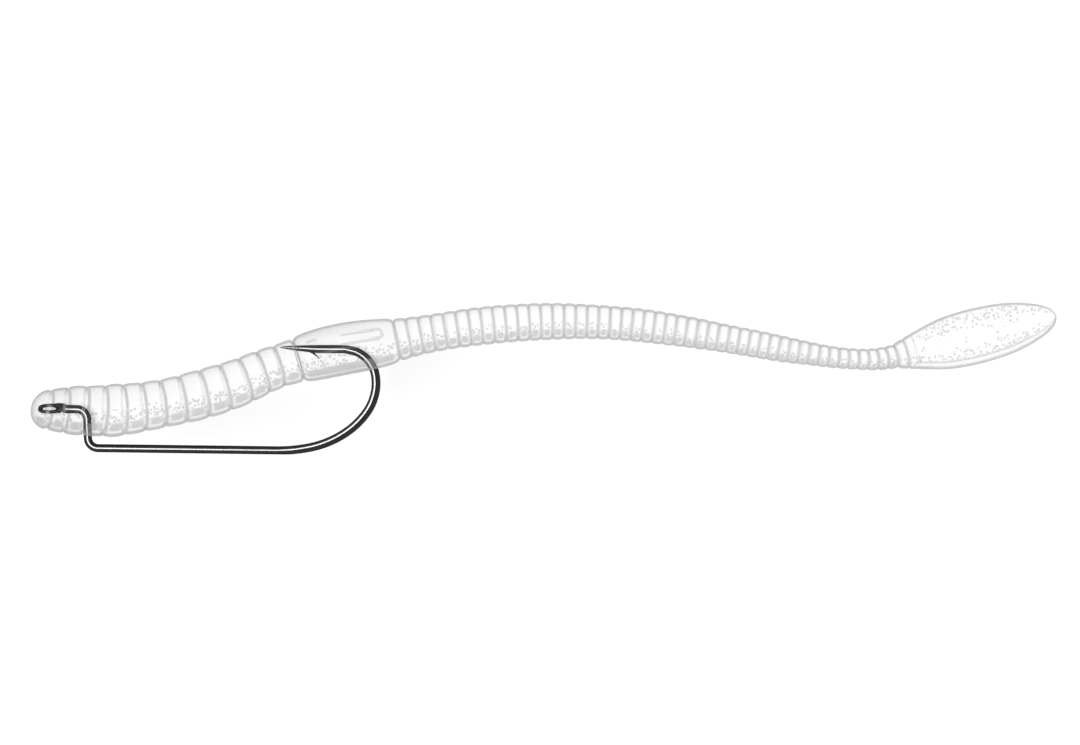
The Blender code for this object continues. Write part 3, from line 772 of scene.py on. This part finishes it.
def neck_rows(last):
    """The rows from the eye's last one to the straight wire behind it."""
    rows = []
    neck_x = EYE_CENTRE[0] + EYE_LOOP_RADIUS + NECK_LENGTH
    for t in np.linspace(0, 1, NECK_ROWS)[1:]:
        e = float(eased(t))
        x = last[0] + t * (neck_x - last[0])
        y = last[1] + e * (NECK_Y - last[1])
        z = last[2] + e * (HEAD_AXIS_Z - last[2])
        swell = NECK_SWELL * math.sin(math.pi * t)
        rows.append((x, y, z, *(thin + (WIRE_RADIUS - thin) * e + swell for thin in last[3:])))
    return rows


def offset_rows():
    """The rows of the two tight bends, whose joining leg leans a little."""
    reach = OFFSET_BEND_RADIUS
    upper = (LEG_X[0] - reach, NECK_Y - reach)
    lower = (LEG_X[1] + reach, SHANK_FRONT_Y + reach)
    level = arc(upper, reach, 90, LEG_LEAN, OFFSET_BEND_ROWS)
    level += arc(lower, reach, 180 + LEG_LEAN, 270, OFFSET_BEND_ROWS)
    return [(x, y, HEAD_AXIS_Z, WIRE_RADIUS, WIRE_RADIUS) for x, y in level]


def bend_rows():
    """The rows of the round bend, forged wider in the hook's plane and thinner across it."""
    rows = []
    bend = smooth_path(HOOK_BEND, HOOK_BEND_ROWS)
    for (x, y), share in zip(bend, np.linspace(0, 1, HOOK_BEND_ROWS)):
        forged = math.sqrt(abs(math.sin(math.pi * share)))
        radii = [WIRE_RADIUS + forged * (radius - WIRE_RADIUS) for radius in FORGED_RADII]
        rows.append((x, y, HEAD_AXIS_Z, *radii))
    return rows


def point_rows():
    """The rows of the point, tapering to its tip."""
    rows = []
    arm_y = HOOK_BEND[-1][1]
    for t in np.linspace(0, 1, POINT_ROWS):
        x = POINT_START_X + t * (POINT_TIP[0] - POINT_START_X)
        y = arm_y + t * (POINT_TIP[1] - arm_y)
        radius = max(WIRE_RADIUS * (1 - t) ** POINT_POWER, POINT_TIP_RADIUS)
        rows.append((x, y, HEAD_AXIS_Z, radius, radius))
    return rows


def barb_rows():
    """The rows of a curved spike on the wire's inner side, its tip pointing back to the bend."""
    rows = []
    for t in np.linspace(0, 1, BARB_ROWS):
        x = BARB_ROOT[0] + t * BARB_REACH[0]
        y = BARB_ROOT[1] + BARB_REACH[1] * t**BARB_CURVE
        radius = BARB_RADIUS * (1 - t) ** BARB_POWER + BARB_TIP_RADIUS
        rows.append((x, y, HEAD_AXIS_Z, radius, radius))
    return rows


def swept(name, rows, sides):
    """A closed tube of changing oval section along the rows, turned as little as it can be."""
    points = np.array([row[:3] for row in rows])
    radii = np.array([row[3:] for row in rows])
    along = np.gradient(points, axis=0)
    along /= np.linalg.norm(along, axis=1)[:, None]
    turns = np.linspace(0, 2 * math.pi, sides, endpoint=False)[:, None]
    normal = np.array([0, math.cos(EYE_TILT), math.sin(EYE_TILT)])
    rings = []
    for point, direction, (wide, thin) in zip(points, along, radii):
        normal = normal - normal.dot(direction) * direction
        normal /= np.linalg.norm(normal)
        other = np.cross(direction, normal)
        rings.append(point + wide * np.cos(turns) * normal + thin * np.sin(turns) * other)
    mesh = tube_mesh(name, np.array(rings))
    mesh.set_sharp_from_angle(angle=SHARP_EDGE)
    return put_in_scene(name, mesh)


def make_hook(material):
    """The hook, one wire with its barb grown out of it."""
    eye = eye_rows()
    rows = eye + neck_rows(eye[-1]) + offset_rows() + bend_rows() + point_rows()
    hook = swept("hook_wire", rows, WIRE_SIDES)
    barb = swept("barb", barb_rows(), BARB_SIDES)
    join = hook.modifiers.new("join", "BOOLEAN")
    join.operation = "UNION"
    join.object = barb
    evaluated = hook.evaluated_get(bpy.context.evaluated_depsgraph_get())
    mesh = bpy.data.meshes.new_from_object(evaluated)
    hook.modifiers.clear()
    hook.data = mesh
    bpy.data.objects.remove(barb)
    mesh.materials.clear()
    mesh.materials.append(material)
    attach(hook, "root")
    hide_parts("hook")
    return hook


def grey(level):
    """An opaque grey."""
    return (level, level, level, 1)


def new_material(name):
    """An empty node material, its node tree and its output node."""
    material = bpy.data.materials.new(name)
    material.use_nodes = True
    tree = material.node_tree
    tree.nodes.clear()
    return material, tree, tree.nodes.new("ShaderNodeOutputMaterial")


def node(tree, kind, **inputs):
    """A new node with input values set by name, an underscore standing for a space."""
    made = tree.nodes.new(kind)
    for name, value in inputs.items():
        made.inputs[name.replace("_", " ")].default_value = value
    return made


def attribute(tree, name, output="Fac"):
    """A value that the mesh stores at each point."""
    made = tree.nodes.new("ShaderNodeAttribute")
    made.attribute_name = name
    return made.outputs[output]


def maths(tree, operation, *values):
    """The result of a maths node on numbers or sockets."""
    made = tree.nodes.new("ShaderNodeMath")
    made.operation = operation
    for socket, value in zip(made.inputs, values):
        if isinstance(value, (int, float)):
            socket.default_value = value
        else:
            tree.links.new(value, socket)
    return made.outputs[0]


def largest(tree, *values):
    """The largest of several sockets' values."""
    total = values[0]
    for value in values[1:]:
        total = maths(tree, "MAXIMUM", total, value)
    return total


def ramp(tree, value, low, high):
    """A smooth step of a value between two levels."""
    made = node(tree, "ShaderNodeMapRange", From_Min=low, From_Max=high)
    made.interpolation_type = "SMOOTHSTEP"
    tree.links.new(value, made.inputs["Value"])
    return made.outputs["Result"]


def mixed(tree, share, first, second):
    """A shader that turns from the first into the second as the share grows."""
    made = tree.nodes.new("ShaderNodeMixShader")
    for socket, source in zip(made.inputs, (share, first, second)):
        tree.links.new(source, socket)
    return made.outputs[0]


def flecks(tree, rest, chance):
    """Small round flecks, in the cells whose random number is under the local chance."""
    cells = node(tree, "ShaderNodeTexVoronoi", Scale=FLECK_SCALE)
    tree.links.new(rest, cells.inputs["Vector"])
    split = tree.nodes.new("ShaderNodeSeparateColor")
    tree.links.new(cells.outputs["Color"], split.inputs[0])
    small = maths(tree, "LESS_THAN", cells.outputs["Distance"], FLECK_RADIUS)
    return maths(tree, "MULTIPLY", small, maths(tree, "LESS_THAN", split.outputs[0], chance))


def film_colour(tree, shade_and_fleck_share, dense):
    """The film's colour, which turns from milky to the grey of the flecks and painted shade with
    their share in it.
    """
    colour = tree.nodes.new("ShaderNodeMix")
    colour.data_type = "RGBA"
    tree.links.new(maths(tree, "DIVIDE", shade_and_fleck_share, dense), colour.inputs["Factor"])
    first, second = (socket for socket in colour.inputs if socket.type == "RGBA")
    first.default_value = grey(MILKY_GREY)
    second.default_value = grey(SHADE_AND_FLECK_GREY)
    return next(socket for socket in colour.outputs if socket.type == "RGBA")


def sheen(tree, rest):
    """A faint gloss on a slightly rippled surface."""
    noise = node(tree, "ShaderNodeTexNoise", Scale=RIPPLE_SCALE)
    tree.links.new(rest, noise.inputs["Vector"])
    bump = node(tree, "ShaderNodeBump", Strength=RIPPLE_STRENGTH, Distance=RIPPLE_HEIGHT)
    tree.links.new(noise.outputs["Fac"], bump.inputs["Height"])
    gloss = node(tree, "ShaderNodeBsdfGlossy", Roughness=SHEEN_ROUGHNESS)
    tree.links.new(bump.outputs["Normal"], gloss.inputs["Normal"])
    return gloss.outputs[0]


def clear_plastic():
    """Clear, slightly milky plastic with grey flecks and grey painted shade where the mesh stores
    them.

    The wall is a thin film. It hides more where it is seen edge-on, and there it is painted grey as
    shade; lamps shine through most of it, so the inside stays bright.
    """
    material, tree, out = new_material("clear_soft_plastic")
    rest = attribute(tree, "rest", "Vector")
    tint, cloud, pepper, milk = (attribute(tree, n) for n in ("tint", "cloud", "pepper", "milk"))
    facing = node(tree, "ShaderNodeLayerWeight", Blend=0.5).outputs["Facing"]
    haze = maths(tree, "MULTIPLY", maths(tree, "POWER", facing, HAZE_POWER), HAZE_DENSITY)
    haze = maths(tree, "ADD", haze, milk)
    # Painted shade: the film turns grey where it is seen edge-on.
    rim_shade = ramp(tree, facing, RIM_FROM, RIM_TO)
    # The painted shade lines, the painted shade patches, the flecks and the edge-on painted shade:
    # the strongest of them sets the grey.
    coats = [(coat, COAT_DENSITY) for coat in (tint, cloud, flecks(tree, rest, pepper))]
    coats.append((rim_shade, RIM_SHADE_DENSITY))
    shade_and_fleck_share = largest(tree, *(maths(tree, "MULTIPLY", coat, most) for coat, most in coats))
    dense = maths(tree, "MINIMUM", largest(tree, shade_and_fleck_share, haze), MOST_DENSITY)
    path = tree.nodes.new("ShaderNodeLightPath")
    lighting = largest(tree, path.outputs["Is Shadow Ray"], path.outputs["Is Diffuse Ray"])
    passing = maths(tree, "MULTIPLY", lighting, LIGHT_PASSING)
    hiding = maths(tree, "MULTIPLY", dense, maths(tree, "SUBTRACT", 1.0, passing))
    body = node(tree, "ShaderNodeBsdfPrincipled", Roughness=PLASTIC_ROUGHNESS)
    body.inputs["Specular IOR Level"].default_value = 0.0
    tree.links.new(film_colour(tree, shade_and_fleck_share, dense), body.inputs["Base Color"])
    clear = tree.nodes.new("ShaderNodeBsdfTransparent")
    film = mixed(tree, hiding, clear.outputs[0], body.outputs[0])
    fresnel = node(tree, "ShaderNodeFresnel", IOR=SHEEN_IOR)
    geometry = tree.nodes.new("ShaderNodeNewGeometry")
    front = maths(tree, "SUBTRACT", 1.0, geometry.outputs["Backfacing"])
    glossy = maths(tree, "MULTIPLY", fresnel.outputs[0], front)
    surface = mixed(tree, glossy, film, sheen(tree, rest))
    tree.links.new(surface, out.inputs["Surface"])
    return material


def clear_cut():
    """Nothing to see, where two pieces of skin meet."""
    material, tree, out = new_material("clear_cut")
    clear = tree.nodes.new("ShaderNodeBsdfTransparent")
    tree.links.new(clear.outputs[0], out.inputs["Surface"])
    return material


def black_nickel():
    """Plated wire: near black, its polish a little uneven."""
    material, tree, out = new_material("black_nickel")
    noise = node(tree, "ShaderNodeTexNoise", Scale=NICKEL_GRAIN)
    place = tree.nodes.new("ShaderNodeTexCoord")
    tree.links.new(place.outputs["Object"], noise.inputs["Vector"])
    least, most = NICKEL_ROUGHNESS
    polish = node(tree, "ShaderNodeMapRange", To_Min=least, To_Max=most)
    tree.links.new(noise.outputs["Fac"], polish.inputs["Value"])
    plating = tree.nodes.new("ShaderNodeValToRGB")
    for stop, colour in zip(plating.color_ramp.elements, NICKEL_COLOURS):
        stop.color = colour
    tree.links.new(noise.outputs["Fac"], plating.inputs["Fac"])
    body = node(tree, "ShaderNodeBsdfPrincipled", Metallic=1.0, Specular_Tint=grey(NICKEL_TINT))
    tree.links.new(polish.outputs["Result"], body.inputs["Roughness"])
    tree.links.new(plating.outputs["Color"], body.inputs["Base Color"])
    tree.links.new(body.outputs[0], out.inputs["Surface"])
    return material


def make_floor():
    """A wide pale floor below the object."""
    mesh = bpy.data.meshes.new("floor")
    half = FLOOR_HALF
    corners = [(-half, -half, 0), (half, -half, 0), (half, half, 0), (-half, half, 0)]
    mesh.from_pydata(corners, [], [(0, 1, 2, 3)])
    floor = put_in_scene("floor", mesh)
    floor.location.z = -FLOOR_DROP
    floor.visible_diffuse = False
    material, tree, out = new_material("pale_floor")
    body = node(tree, "ShaderNodeBsdfPrincipled", Roughness=FLOOR_ROUGHNESS)
    body.inputs["Base Color"].default_value = grey(FLOOR_GREY)
    body.inputs["Specular IOR Level"].default_value = FLOOR_SHINE
    tree.links.new(body.outputs[0], out.inputs["Surface"])
    mesh.materials.append(material)


def make_world():
    """A pale studio, dark below for the object's shading and straight above for black metal."""
    world = bpy.data.worlds.new("studio")
    bpy.context.scene.world = world
    world.use_nodes = True
    tree = world.node_tree
    place = tree.nodes.new("ShaderNodeTexCoord")
    split = tree.nodes.new("ShaderNodeSeparateXYZ")
    tree.links.new(place.outputs["Generated"], split.inputs[0])
    height = node(tree, "ShaderNodeMapRange", From_Min=-1.0)
    tree.links.new(split.outputs["Z"], height.inputs["Value"])
    levels = tree.nodes.new("ShaderNodeValToRGB")
    tree.links.new(height.outputs["Result"], levels.inputs["Fac"])
    stops = levels.color_ramp.elements
    stops[0].position = (1 + WORLD_LEVELS[0][0]) / 2
    stops[-1].position = (1 + WORLD_LEVELS[-1][0]) / 2
    for rise, _ in WORLD_LEVELS[1:-1]:
        stops.new((1 + rise) / 2)
    for stop, (_, level) in zip(stops, WORLD_LEVELS):
        stop.color = grey(level)
    background = tree.nodes["Background"]
    tree.links.new(levels.outputs["Color"], background.inputs["Color"])
    background.inputs["Strength"].default_value = 1.0


def make_lamp(name, energy, angle, shines_from):
    """A far lamp that shines evenly from one side."""
    data = bpy.data.lights.new(name, "SUN")
    data.energy = energy
    data.angle = angle
    lamp = put_in_scene(name, data)
    lamp.rotation_euler = Vector(shines_from).to_track_quat("Z", "Y").to_euler()
    return lamp


def light_only(lamp, piece):
    """Keeps a lamp's light off everything but one piece."""
    seen = bpy.data.collections.new(f"seen_by_{lamp.name}")
    seen.objects.link(piece)
    lamp.light_linking.receiver_collection = seen


def make_camera():
    """A camera straight above, so far up that its view is as wide as it should be."""
    data = bpy.data.cameras.new("camera")
    data.lens = LENS
    data.sensor_width = SENSOR_WIDTH
    camera = put_in_scene("camera", data)
    x, y, z = VIEW_CENTRE
    camera.location = (x, y, z + VIEW_WIDTH * data.lens / data.sensor_width)
    bpy.context.scene.camera = camera


make_skin((clear_plastic(), clear_cut()))
hook_wire = make_hook(black_nickel())
make_floor()
make_world()
make_lamp("overhead", *OVERHEAD)
light_only(make_lamp("softbox", *SOFTBOX), hook_wire)
make_camera()
bpy.context.scene.view_settings.view_transform = "Standard"
bpy.context.scene.cycles.transparent_max_bounces = 64
